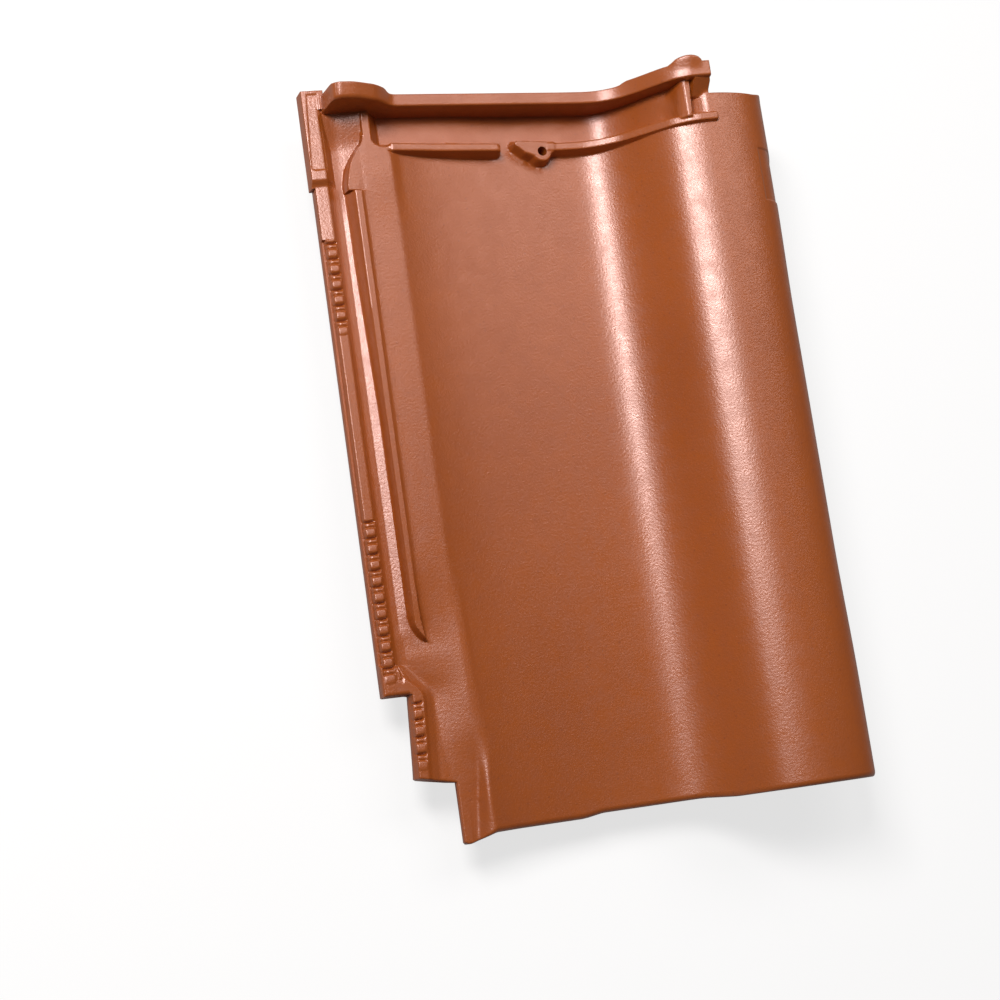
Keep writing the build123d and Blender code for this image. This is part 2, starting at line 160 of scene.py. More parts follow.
def through(stations: list[Pair], place: Grid,
            soft: float | Grid = 0.0) -> Grid:
    """Line through stations, with its corners rounded by a running mean.

    Args:
        stations: (place, value) pairs in order.
        place: where to read the line.
        soft: half width of the mean.

    Returns:
        The line's value at each place.
    """
    at, value = np.array(stations).T
    if not np.any(soft):
        return np.interp(place, at, value)
    shifts, weights = (-1.0, -0.5, 0.0, 0.5, 1.0), (1.0, 2.0, 2.0, 2.0, 1.0)
    parts = [w * np.interp(place + s * soft, at, value) for s, w in zip(shifts, weights)]
    return sum(parts) / sum(weights)


def lines(*spans: Triple) -> Grid:
    """Grid lines over spans of (start, end, step), each span divided evenly."""
    parts = [np.linspace(a, b, max(1, round((b - a) / step)) + 1) for a, b, step in spans]
    return np.unique(np.round(np.concatenate(parts), 4))


# The tile's form

@dataclass
class PressedTile:
    """The tile as one closed surface, worked out on grids across and down the tile.

    Places are in millimetres: x across from the lock edge, down from the back of the head rib
    towards the foot, and heights above the floor.
    """

    width: float = 252.0
    length: float = 368.0
    clay: float = 11.5
    centre_x: float = 125.2
    centre_down: float = 183.5
    knots: list[Triple] = field(default_factory=lambda: [
        (24, 34.5, 0.14), (30, 35.05, 0.04), (38.4, 35.2, 0), (41.6, 34.55, -0.36),
        (52, 31.3, -0.27), (70, 27.6, -0.14), (112, 24.5, 0), (138, 25.1, 0.06),
        (152, 28.4, 0.45), (170, 45, 1.36), (187, 64.5, 0.62), (209, 71.3, 0),
        (237.5, 61, -1.75), (252, 33, -2.3)])
    under_knots: list[Triple] = field(default_factory=lambda: [
        (26, 35.5, 0), (38, 35.2, -0.1), (113, 24.5, 0), (153, 28.7, 0.32),
        (175, 50.5, 1.55), (209, 71, 0), (237.5, 61, -1.75), (252, 33, -2.3)])
    # Outline and side lock
    back: float = -5.0
    edge_x: float = -1.2
    flange_x: float = 0.4
    head_start_x: float = 10.0
    channel_z: float = 28.25
    basin_rise: float = 3.9
    rib_z: float = 31.5
    inner_rib_z: float = 36.5
    inner_rib: Pair = (48.0, 277.5)
    pad_end: float = 45.0
    plain_end: float = 71.5
    teeth: tuple[tuple[float, int, float], ...] = (
        (72.6, 6, 4.6), (212.6, 10, 4.6), (301.6, 4, 16.2))
    tooth_pitch: float = 7.9
    tooth_half: float = 2.8
    step_1: float = 298.0
    step_2: float = 337.7
    second_x: float = 13.6
    strip_x: float = 31.4
    # Head, ribs and nail hole
    head_front: float = 6.6
    head_channel_z: float = 26.0
    hump_x: float = 191.4
    hump_half: float = 7.2
    hump_rise: float = 1.9
    rib_end_x: float = 203.5
    brace_z: float = 75.6
    setback: float = 13.2
    post_x: Pair = (188.0, 193.4)
    lower_rib: Pair = (24.2, 28.5)
    lower_rib_parts: tuple[Pair, ...] = ((39.8, 101.0), (126.0, 205.5))
    lug_z: float = 31.7
    nail: Pair = (123.5, 28.6)
    nail_radius: float = 2.5
    boss_radius: float = 5.2
    drill_z: float = 22.0
    drill_length: float = 30.0
    flank_panel_x: float = 227.0
    flank_panel_depth: float = 0.6
    # Underside and edges
    under_lock_z: float = 18.5
    under_edge_z: float = 25.0
    nib_middles: Pair = (60.0, 152.0)
    nib_half: float = 18.4
    nib_down: Pair = (7.9, 24.1)
    lip_x: Pair = (43.0, 168.0)
    lip_down: Pair = (358.0, 400.0)
    bar_x: Pair = (222.9, 229.1)
    bar_down: Pair = (21.2, 358.0)
    bar_z: float = 47.5
    edge_radius: float = 0.9
    sharp_angle: float = 42.0

    # Lines of the section

    @staticmethod
    def section_line(knots: list[Triple]) -> tuple[Grid, Grid, Grid, Grid]:
        """Top line of pan and roll as a curve through knots.

        Each stretch is the cubic Hermite curve between two knots, with unit tangents times
        the chord between them.

        Args:
            knots: places, heights and slopes of the knots.

        Returns:
            Places x, heights, and the two parts of the unit tangent along the line.
        """
        share = np.linspace(0, 1, 65)
        h0 = 2 * share ** 3 - 3 * share ** 2 + 1
        h1 = share ** 3 - 2 * share ** 2 + share
        h2 = -2 * share ** 3 + 3 * share ** 2
        h3 = share ** 3 - share ** 2
        xs, zs = [], []
        for (ax, az, aslope), (bx, bz, bslope) in zip(knots, knots[1:]):
            chord = math.hypot(bx - ax, bz - az)
            a = chord / math.hypot(1, aslope)
            b = chord / math.hypot(1, bslope)
            xs.append(h0 * ax + h1 * a + h2 * bx + h3 * b)
            zs.append(h0 * az + h1 * a * aslope + h2 * bz + h3 * b * bslope)
        x, z = np.concatenate(xs), np.concatenate(zs)
        keep = np.concatenate([[True], np.diff(x) > 1e-6])
        x, z = x[keep], z[keep]
        run, rise = np.gradient(x), np.gradient(z)
        size = np.hypot(run, rise)
        return x, z, run / size, rise / size

    def section(self, x: Grid) -> Grid:
        """Height of pan and roll at places across the tile."""
        at, z, _, _ = self.section_line(self.knots)
        return np.interp(x, at, z)

    def upright(self, x: Grid) -> Grid:
        """Upright share of the surface normal of pan and roll across the tile."""
        at, _, run, _ = self.section_line(self.knots)
        return np.interp(x, at, run)

    # Side lock

    def wall_foot(self, down: Grid) -> Grid:
        """Place across the tile where the right wall of the lock channel meets its floor."""
        return through([
            (0, 27.1), (8.4, 27), (12.5, 26.8), (18, 26.6), (21.7, 26.1), (23.7, 24.9),
            (27, 22.1), (30.3, 19.6), (36.2, 16.4), (43.9, 14.8), (48, 15.2), (66, 15.6),
            (84, 15.6), (163, 17.5), (254, 17.3), (261, 17.3), (267, 18.6),
            (271.5, 21), (274.5, 24), (276.5, 28), (278, 34)], down, 1.2)

    def wall_top(self, down: Grid) -> Grid:
        """Place across the tile where that wall reaches its crest.

        Args:
            down: places down the tile.

        Returns:
            The places, on one line beside the basin and on another along the inner rib.
        """
        head = through([
            (0, 27.6), (12.7, 27.2), (19.5, 26.9), (22.5, 26), (25.5, 24.3), (28.4, 21.9),
            (32.7, 19.4), (38.8, 17.3), (46.7, 15.9), (50, 15.9)], down, 1.5)
        rest = through([
            (48, 19.3), (262, 19.2), (266.3, 19.5), (270, 21.8), (273, 24.4),
            (275, 28.5), (278, 36)], down, 1.2)
        return np.where(down < self.inner_rib[0], head, rest)

    def tooth_height(self, x: Grid, down: Grid) -> Grid:
        """Change of height along the clip teeth of the outer rib.

        Over each pitch towards the foot come a slot bowed to the foot, a saddle with a notch
        near its left end, a crease bowed to the head, and a rounded pillow. Slot and crease
        are bell curves, the saddle a smooth step down and up, and the pillow a sine bow.

        Args:
            x: places across the tile.
            down: places down the tile.

        Returns:
            The height to add.
        """
        change = np.zeros(np.broadcast(x, down).shape)
        bows = [(0, 0.5), (1.4, 0.35), (3.2, -0.4), (4.6, -0.4), (6.4, 0.3), (7.9, 0.5)]
        for start, count, middle in self.teeth:
            across = np.clip((x - middle) / self.tooth_half, -1.2, 1.2)
            near = np.mod(down - start, self.tooth_pitch)
            bow = through(bows, near) * (1.0 - across * across) - 0.12 * across
            place = down - start - bow
            number = np.floor((place + 0.6) / self.tooth_pitch)
            within = place - np.clip(number, 0, count - 1) * self.tooth_pitch
            height = -1.75 * np.exp(-((within - 0.8) / 0.62) ** 2)
            height = height - 0.75 * np.exp(-((within - 4) / 0.45) ** 2)
            height = height - 0.3 * ease(0.8, 1.8, within) * (1.0 - ease(3.2, 4.6, within))
            rise = np.clip((within - 4.3) / 4.1, 0, 1)
            bead = 0.35 * np.sin(np.pi * rise)
            round_off = np.clip(np.abs(across) - 0.55, 0, 0.65)
            bead = bead - 1.1 * round_off * round_off * (rise > 0) * np.sin(np.pi * rise)
            notch = np.exp(-((x - middle + 1.3) / 0.6) ** 2) * ease(1.4, 2.1, within)
            height = height + bead - 0.4 * notch * (1.0 - ease(3.2, 3.9, within))
            here = (place > -0.6) & (place < count * self.tooth_pitch)
            reach = 1.0 - ease(middle + 1.9, middle + 3.3, x)
            reach = reach * ease(middle - 3.4, middle - 2.5, x)
            change += np.where(here, height * reach, 0)
        return change

    def land(self, x: Grid, down: Grid) -> Grid:
        """Height of the strip between the lock and the pan.

        Beside the foot corner the strip leans down to the channel's floor, and its lower part
        turns into a level tongue with a crease where the pan's side begins.

        Args:
            x: places across the tile.
            down: places down the tile.

        Returns:
            The heights, good from the lock channel to the pan.
        """
        plain = self.section(x)
        head = 0.9 * (1.0 - ease(38, 46, x))
        left = 1.0 - ease(47.5, 48.8, down)
        right = 1.0 - ease(36, 70, down)
        plain = plain + head * (left + (right - left) * ease(20.5, 23.5, x))
        low = through([(262, 28.4), (290, 28.1), (340, 28), (368, 27.6)], down)
        start = through([(262, 14), (281, 14.5), (288, 18.5), (295, 24),
                         (300, 25.6), (322, 26.5), (340, 30)], down, 2)
        crease = through([(262, 41), (318, 41), (332, 42.4), (345, 41.3),
                          (368.8, 38.3)], down, 3)
        crease_z = through([(262, 34.4), (280, 34), (300, 33.2), (318, 32),
                            (332, 30), (345, 28.6), (358, 27.9), (368.8, 27.6)],
                           down, 4)
        end = through([(262, 47), (300, 48.5), (318, 50), (328, 49),
                       (338, 46.6), (350, 45.9), (357, 46.4), (366, 47.3)], down, 3)
        share = np.clip((x - start) / (crease - start), 0, 1)
        lean = low + (crease_z - low) * share
        share = np.clip((x - crease) / (end - crease), 0, 1)
        climb = 0.55 * ease(0, 1, share) + 0.45 * (1.0 - (1.0 - share) ** 1.7)
        lean = np.where(x < crease, lean, crease_z + (plain - crease_z) * climb)
        return plain + (lean - plain) * ease(232, 277, down)

    def channel(self, x: Grid, down: Grid) -> Grid:
        """Height of the channel from the basin to the foot, with its inner rib.

        Basin and gutter rise to the right. The wall is a share of a line and of a smooth step,
        and past its end the inner rib dies out as exp(-d / s) of the distance d.

        Args:
            x: places across the tile.
            down: places down the tile.

        Returns:
            Heights, good right of the outer rib.
        """
        foot, top = self.wall_foot(down), self.wall_top(down)
        floor = self.channel_z + self.basin_rise * (1.0 - ease(7, 27, down))
        basin = 0.23 * np.where(x < 16, np.clip(x - 12, 0, 4) ** 2 / 8, x - 14)
        gutter = 0.32 * np.clip(x - 13.3, 0, 13)
        tilt = basin + (gutter - basin) * ease(44, 66, down)
        floor = floor + tilt * (1.0 - ease(256, 284, down))
        share = np.clip((x - foot) / (top - foot), 0, 1)
        share = 0.2 * share + 0.8 * ease(0, 1, share)
        land = self.land(x, down)
        rib_end = through([(48, 22.2), (246, 21.6), (254, 21.7), (264, 22.3),
                           (271, 23.4), (277, 24.6)], down, 1)
        past = np.maximum(x - rib_end, 0)
        spread = 1.9 - 1.1 * ease(260, 271, down)
        tip_fall = 1.2 * ease(250, 276, down)
        crest = land + (self.inner_rib_z - tip_fall - land) * np.exp(-past / spread)
        ridge = floor + (crest - floor) * share
        rib_start, rib_tip = self.inner_rib
        ridge = np.where((down > rib_start + 0.2) & (down < rib_tip), ridge, 0)
        bank = floor + (land - floor) * (share + (1.0 - share) * ease(264, 275, down))
        return np.maximum(ridge, bank)

    def outer_rib(self, x: Grid, down: Grid) -> Grid:
        """Height of head pad and outer rib, before its teeth are cut.

        Each stretch has its own profile: the block behind the head rib, the pad with its sunk
        panel, the plain rib, and the rib with a flange outside it.

        Args:
            x: places across the tile.
            down: places down the tile.

        Returns:
            Heights, good down to the first step.
        """
        slope = [(7.4, 31.05), (8.4, 29.95), (9.8, 28.95), (11.5, 28.35), (13, 27.9),
                 (13.8, 20)]
        toothed = through([(0.4, 25.5), (1.35, 25.5), (2.1, 31.1), (2.6, 31.5), (6.6, 31.5)]
                          + slope, x, 0.3)
        plain = through([(-2, 29.9), (0.4, 30.5), (6.5, 31.75)] + slope, x, 0.3)
        pad = through([(-1.7, 32.1), (-1.1, 32.6), (6, 34), (6.6, 33.5), (11.6, 28.2),
                       (12.4, 20)], x, 0.35)
        block = through([(-1.7, 32.1), (-1.1, 32.6), (6, 34.1), (10.4, 34.3), (12.5, 20)],
                        x, 0.3)
        pad = np.where(down < 5.2, block, pad)
        panel = in_outline(x, down, [(1.3, -3), (-0.6, 35.2), (0.6, 36.4), (7.6, 36.4),
                                     (7.2, -3)])
        wall = in_box(x, down, (6.7, 12), (-6, 8.6), 0.3)
        pad = pad - 0.55 * ease(-0.3, 0.5, panel) * (1.0 - ease(-0.4, 0.4, wall))
        ramp = ease(40.8, 44.8, down)
        pad = pad + (np.minimum(plain, pad) - pad) * ramp
        rib = np.where(down < self.plain_end, plain, toothed)
        return np.where(down < self.pad_end, pad, rib)

    def shelf(self, x: Grid, down: Grid) -> Grid:
        """Height of the shelf that the outer rib widens into towards the foot.

        Args:
            x: places across the tile.
            down: places down the tile.

        Returns:
            Heights of the shelf and of its slope down to the channel's floor.
        """
        end_x = through([(280, 3), (283, 6.6), (288, 10.2), (291.5, 12.9), (295, 17),
                         (298, 19.4), (301, 20), (370, 18.2)], down, 1)
        width = through([(282, 7), (290, 8), (295, 7.6), (299, 6.6), (304, 6.2), (330, 5.8),
                         (370, 5)], down, 2)
        share = np.clip((x - end_x + 0.4) / width, 0, 1)
        height = self.rib_z - 3.6 * (0.2 * ease(0, 0.4, share) + 0.8 * share)
        height = height - 9.0 * (1.0 - ease(280, 284.5, down))
        left = through([(0, 25.5), (0.7, 25.5), (1.3, 31.1), (1.8, 31.5), (50, 31.5)],
                       x - self.second_x + 0.5, 0.25)
        return np.where(down > self.step_1, np.minimum(height, left), height)

    def lock(self, x: Grid, down: Grid) -> Grid:
        """Height of the side lock: outer rib with its teeth, shelf, channel and inner rib.

        Args:
            x: places across the tile.
            down: places down the tile.

        Returns:
            Heights, good up to where the strip of the pan begins.
        """
        shelf = self.shelf(x, down)
        rib = join_max(self.outer_rib(x, down), shelf, 0.4)
        rib = np.where(down > self.step_1, shelf, rib)
        rib = rib + self.tooth_height(x, down) + self.corner_dimple(x, down)
        return join_max(rib, self.channel(x, down), 0.6)

    def corner_dimple(self, x: Grid, down: Grid) -> Grid:
        """Small forked ridge and the hollow around it where the outer rib steps inwards.

        Args:
            x: places across the tile.
            down: places down the tile.

        Returns:
            The height to add.
        """
        hollow = in_outline(x, down, [(7.2, 283), (9.6, 282.6), (12.4, 288.6), (10.8, 292.4),
                                      (7.6, 291)])
        depth, (fork_x, fork_down) = 0.5, (8.9, 281.4)
        change = -depth * ease(-0.5, 0.9, hollow)
        for end_x, end_down in ((11.9, 288.6), (9.5, 290)):
            run_x, run_d = end_x - fork_x, end_down - fork_down
            from_x, from_d = x - fork_x, down - fork_down
            share = np.clip((from_x * run_x + from_d * run_d) / (run_x ** 2 + run_d ** 2), 0, 1)
            away = np.hypot(from_x - share * run_x, from_d - share * run_d)
            change = np.maximum(change, -depth * ease(0.1, 0.75, away))
        return np.where(hollow > -0.5, change, 0)

    # Head, ribs and lug

    def dome(self, x: Grid) -> Grid:
        """Round form of the hump's top: sqrt(1 - t^2) of the share t of its half width."""
        return np.sqrt(np.clip(1.0 - ((x - self.hump_x) / self.hump_half) ** 2, 0, 1))

    def head_rib_top(self, x: Grid, down: Grid) -> Grid:
        """Height of the head rib's top: a hump, a level run, and the climb over the roll.

        Args:
            x: places across the tile.
            down: places down the tile.

        Returns:
            The heights, with the round hump at the rib's right end.
        """
        top = through([
            (8.4, 28), (8.8, 46), (9.6, 52), (11.6, 54.6), (19.4, 54.9), (24, 53.6),
            (32, 50.9), (37.5, 46.8), (42, 41.2), (44, 40.5), (134, 40.5),
            (148, 40.8), (155, 42.1), (161, 45.2), (166, 49.6), (171, 55.4),
            (176, 62.2), (180, 67.6), (185, 72.6), (192, 76.4), (201, 78),
            (204.5, 78.2)], x, 0.6 + 1.7 * ease(9.6, 12, x))
        top = top - 0.26 * np.clip(down + 1.5, 0, 9) * (1.0 - ease(36, 44, x))
        return top + self.hump_rise * self.dome(x) * (1.0 - ease(0.4, 4, down))

    def lower_rib_top(self, x: Grid) -> Grid:
        """Height of the lower rib's top across pan and roll."""
        return through([
            (38, 37.2), (67, 34.6), (100, 33), (101, 31.7), (133, 31.7),
            (134.2, 32), (135.8, 32.05), (137, 32.4), (142, 32.8), (147, 33.8),
            (154, 36.6), (163, 42.3), (173, 53.2), (183, 64.4), (190, 69.4),
            (196, 72), (205, 73.6)], x, 1.5)

    def lug(self, x: Grid, down: Grid, ground: Grid) -> Grid:
        """Surface with the pointed lug, its pocket and the round boss added.

        Args:
            x: places across the tile.
            down: places down the tile.
            ground: height of the surface before.

        Returns:
            The height with the lug.
        """
        nail_x, nail_down = self.nail
        arrow = in_outline(x, down, [(109, 23.6), (109.6, 25.2), (114.2, 29.2), (118.8, 31),
                                     (127, 31), (131, 28.3), (131, 23.4), (116, 22.6),
                                     (110, 22.7)])
        boss = self.boss_radius - np.hypot(x - nail_x, down - nail_down)
        form = raised(np.maximum(arrow, boss), self.lug_z, 0.7, 5)
        ridge = in_outline(x, down, [(106.6, 20.6), (108.2, 27.2), (114, 33.4), (117.4, 34.4),
                                     (117.4, 20.6)])
        ridge = np.minimum(ridge, 2.4)
        ground = ground + 0.36 * np.maximum(ridge, 0) * ease(107, 110, x)
        return join_max(ground, form, 1.4)

    def head_channel(self, x: Grid, down: Grid, ground: Grid) -> Grid:
        """Surface with the level channel between the two ribs sunk into it.

        Args:
            x: places across the tile.
            down: places down the tile.
            ground: height of the surface before.

        Returns:
            The height with the channel.
        """
        reach = np.hypot(np.maximum(37.7 - x, 0) / 6.9, np.maximum(down - 21.5, 0) / 4.6)
        floor = self.head_channel_z + 10.4 * reach
        climb = self.head_channel_z + 0.9 * np.maximum(x - 134, 0)
        floor = join_max(floor, climb, 0.8)
        sunk = (x > 26) & (x < 160) & (down < 32)
        ground = np.where(sunk, join_min(ground, floor, 0.8), ground)
        drop = 4.3 * ease(134, 163, x) * (1.0 - ease(193, 202.5, x))
        return ground - drop / self.upright(x) * (1.0 - ease(24.4, 25.4, down))

    def head_rib(self, x: Grid, down: Grid, ground: Grid) -> Grid:
        """Surface with the head rib, the brace under its right end and the post added.

        Args:
            x: places across the tile.
            down: places down the tile.
            ground: height of the surface before.

        Returns:
            The height with the rib.
        """
        edge = 1.0 + 0.7 * (1.0 - ease(38, 44, x))
        face = raised(self.head_front - down, self.head_rib_top(x, down), edge, 26)
        ribbed = (x > 8) & (x < self.rib_end_x + 0.01) & (down > -0.01)
        z = np.where(ribbed, join_max(ground, face, 1.6), ground)
        braced = (x > 194.4) & (x < self.rib_end_x + 0.01) & (down > 5.2) & (down < 15)
        brace = self.brace_z + np.minimum(0, 0.3 - 0.95 * (down - self.head_front))
        z = np.where(braced, join_max(z, brace, 0.5), z)
        post = in_box(x + 0.06 * (down - 6), down, self.post_x, (4, 26))
        post_top = through([(187, 68), (188.3, 69.2), (190, 71.2), (196, 71.6)], x, 0.4)
        return join_max(z, raised(post, post_top, 0.8, 5), 1.5)

    def top(self, x: Grid, down: Grid) -> Grid:
        """Height of the upper surface.

        The bead beside the post and the slot left of the lower rib are bell curves.

        Args:
            x: places across the tile.
            down: places down the tile.

        Returns:
            The heights.
        """
        z = np.where(x < 36, self.lock(x, down), self.land(x, down))
        z = self.head_rib(x, down, self.head_channel(x, down, z))
        rib_top = self.lower_rib_top(x)
        for span in self.lower_rib_parts:
            rib = in_box(x, down, span, self.lower_rib, 1.4)
            z = join_max(z, raised(rib, rib_top, 0.9, 4.6), 1.2)
        bead = np.exp(-((x - 184.6) / 1.5) ** 2 - ((down - 15.5) / 3.8) ** 2)
        slot = np.exp(-((x - 40.2) / 0.55) ** 2) * ease(24, 25, down)
        z = z + 0.7 * bead - 0.9 * slot * (1.0 - ease(28, 29.5, down))
        z = self.lug(x, down, z)
        recess = ease(self.flank_panel_x, self.flank_panel_x + 0.9, x) * ease(42.4, 43.2, down)
        recess = self.flank_panel_depth * recess * (1.0 - ease(70, 71.2, down))
        return z - recess / np.maximum(self.upright(x), 0.5)

    # Outline

    def outline(self) -> list[Pair]:
        """Corners of the tile's outline on the grid, before the outline is bent to shape."""
        return [(self.edge_x, self.back), (self.edge_x, self.pad_end),
                (self.flange_x, self.pad_end), (self.flange_x, self.step_1),
                (self.second_x, self.step_1), (self.second_x, self.step_2),
                (self.strip_x, self.step_2), (self.strip_x, self.length),
                (self.width, self.length), (self.width, self.setback),
                (self.rib_end_x, self.setback), (self.rib_end_x, 0),
                (self.head_start_x, 0), (self.head_start_x, self.back)]

    def bend(self, x: Grid, down: Grid) -> tuple[Grid, Grid]:
        """Moves grid places so that the straight outline takes its real, slanted edges.

        Args:
            x: grid places across the tile.
            down: grid places down the tile.

        Returns:
            The moved places across and down.
        """
        taper = 2.3 * np.clip((down - self.step_1) / (self.step_2 - self.step_1), 0, 1)
        taper = taper * (1.0 - ease(self.step_2, self.step_2 + 12, down))
        new_x = x - taper * (1.0 - ease(16, 27, x)) * (x > self.second_x - 1)
        bow = 1.3 * ease(60, 130, down) * (1.0 - ease(250, 320, down))
        new_x = new_x - bow * ease(205, 252, x)
        slant = 4.5 * np.clip((x - 12.2) / 19.2, 0, 1) * (1.0 - ease(33, 60, x))
        near = np.clip(1.0 - np.abs(down - self.step_2) / 26, 0, 1)
        new_down = down + slant * near
        foot = through([(31, 2.4), (33.5, 4), (36, 3.6), (47, 0.2), (60, 0),
                        (96, 0), (106, -1.5), (158, -1.5), (170, 0)], x, 1.2)
        new_down = new_down + foot * ease(348, 368, down)
        push = -0.5 + 0.7 * ease(6, 8.4, down)
        push = push * (1.0 - ease(self.setback, 18, down))
        new_x = new_x + push * ease(198, self.rib_end_x, x)
        head = -1.5 * (1.0 - ease(38, 42, x)) * (x > 8) - 1.5 * ease(164, 168, x)
        head = (head - 3.0 * self.dome(x)) * (1.0 - ease(0, 5, down)) * (x < self.rib_end_x + 0.1)
        new_down = new_down + head * np.clip(1.0 + down / 5, 0, 1)
        corner = -5.2 * ease(228, 250, x) * np.clip(1.0 - (down - self.setback) / 18, 0, 1)
        return new_x, new_down + np.where(down >= self.setback - 0.01, corner, 0)

    def inside(self, x: Grid, down: Grid) -> Grid:
        """Distance of places inside the grid outline, negative outside."""
        return in_outline(x, down, self.outline())

    # Underside

    def under(self, x: Grid, down: Grid) -> tuple[Grid, Grid]:
        """Places across and heights of the underside.

        The underside lies the clay's thickness below the top line, measured square to it.
        Nibs, the foot lip, the arch lip and the weather bar hang below it.

        Args:
            x: grid places across the tile.
            down: grid places down the tile.

        Returns:
            Places across, moved square to the section, and heights.
        """
        at, z, run, rise = self.section_line(self.under_knots)
        arch = ease(153, 160, x) * (1.0 - ease(244, 250, x)) * ease(357.4, 358, down)
        depth = self.clay + 4.0 * arch
        new_x = x + depth * np.interp(x, at, rise, left=0)
        height = np.interp(x, at, z) - depth * np.interp(x, at, run, left=1)
        low = self.under_lock_z
        rest = [(24, low), (34, 21), (44, 23.4), (260, 90)]
        lock = through([(-1.7, 31.6), (-1.2, 30.4), (0.4, 24.2), (2.9, low)] + rest, x)
        second = through([(13.5, 24.2), (16, low)] + rest, x)
        lock = np.where(down > self.step_1 + 0.4, second, lock)
        height = np.minimum(height, lock)
        strip = 1.0 - ease(40, 48, x)
        height = height - strip * ease(330, 366, down) * np.maximum(height - 20.4, 0)
        edge = (np.abs(x - self.strip_x) < 0.6) & (down > self.step_2 - 0.1)
        height = np.where(edge, self.under_edge_z, height)
        for middle in self.nib_middles:
            sides = (middle - self.nib_half, middle + self.nib_half)
            nib = in_box(new_x, down, sides, self.nib_down)
            height = np.minimum(height, -raised(nib, 0, 1.2, 11))
        lip = in_box(new_x, down, self.lip_x, self.lip_down)
        height = np.minimum(height, -raised(lip, 0, 1.2, 7))
        bar = in_box(new_x, down, self.bar_x, self.bar_down)
        return new_x, np.minimum(height, -raised(bar, -self.bar_z, 0.8, 9))

    # Mesh

    def round_edge(self, x: Grid, down: Grid) -> Grid:
        """Drop of the upper surface towards the rounded edge of the outline.

        Over the radius r it is r - sqrt(r^2 - (r - s)^2) of the distance s inside the edge.

        Args:
            x: places across the tile.
            down: places down the tile.

        Returns:
            The drop.
        """
        foot = 1.6 * ease(360, 366, down) * ease(36, 50, x)
        step = ease(290, 296, down) * (down < self.step_1) * (x < self.second_x)
        radius = self.edge_radius * (np.where(x < 1.8, 0.5, 1) + 1.4 * foot + 1.0 * step)
        short = np.clip(radius - np.maximum(self.inside(x, down), 0), 0, radius)
        return radius - np.sqrt(radius * radius - short * short)

    def top_lines(self) -> list[tuple[Grid, Grid]]:
        """Grid lines of the three patches of the upper surface.

        Returns:
            Lines across and lines down for the outer rib and channel, for the inner rib and
            strip beside it, and for pan and roll.
        """
        rib_x = lines((-1.2, -0.7, 0.17), (-0.7, 0.4, 0.37), (0.4, 2.8, 0.3), (2.8, 6.4, 0.45),
                      (6.4, 8.2, 0.36), (8.2, 10, 0.2), (10, 12.8, 0.4), (12.8, 13.6, 0.27),
                      (13.6, 16.4, 0.28), (16.4, 20.5, 0.32))
        land_x = lines((21, 24.8, 0.35), (24.8, 28.6, 0.45), (28.6, 31.4, 0.7),
                       (31.4, 32.6, 0.3), (32.6, 48, 0.8))
        rest_x = lines((49, 98, 3.3), (98, 103, 0.9), (103, 107, 1.3),
                       (107, 131, 0.6), (131, 137, 2), (137, 165, 1.9),
                       (165, 186, 1.5), (186, 197, 0.6), (197, 202.4, 1.1),
                       (202.4, 203.5, 0.3), (203.5, 204.7, 0.4), (204.7, 207, 0.6),
                       (207, 226.6, 2.1), (226.6, 228.2, 0.4), (228.2, 251, 2),
                       (251, 252, 0.2))
        head = [(0, 1, 0.2), (1, 5, 0.6), (5, 8.2, 0.28), (8.2, 13.2, 0.8),
                (13.2, 14.4, 0.3), (14.4, 18, 0.7), (18, 35, 0.42)]
        corner = [(35, 46.6, 0.45), (46.6, 49.4, 0.3), (49.4, 64.4, 1.6)]
        rib_down = lines((-5, -4, 0.2), (-4, -1, 0.6), (-1, 0, 0.4), *head, *corner,
                         (64.4, 72, 0.6), (72, 121, 0.29), (121, 125, 0.9),
                         (125, 205, 4.4), (205, 212, 1.2), (212, 297.2, 0.29),
                         (297.2, 299, 0.25), (299, 301.2, 0.4), (301.2, 334.4, 0.29),
                         (334.4, 336.6, 0.5), (336.6, 337.7, 0.28))
        land_down = lines(*head, *corner, (64.4, 246, 5.2), (246, 261, 2.5),
                          (261, 279, 0.6), (279, 300, 1.5), (300, 336.6, 2.6),
                          (336.6, 338.8, 0.3), (338.8, 361, 2.2), (361, 365, 0.8),
                          (365, 368, 0.3))
        rest_down = lines(*head, (35, 42, 2.4), (42, 43.6, 0.4), (43.6, 69.6, 2.9),
                          (69.6, 71.6, 0.4), (71.6, 298, 5.2),
                          (298, 361, 4.2), (361, 365, 0.8), (365, 368, 0.3))
        return [(rib_x, rib_down), (land_x, land_down), (rest_x, rest_down)]

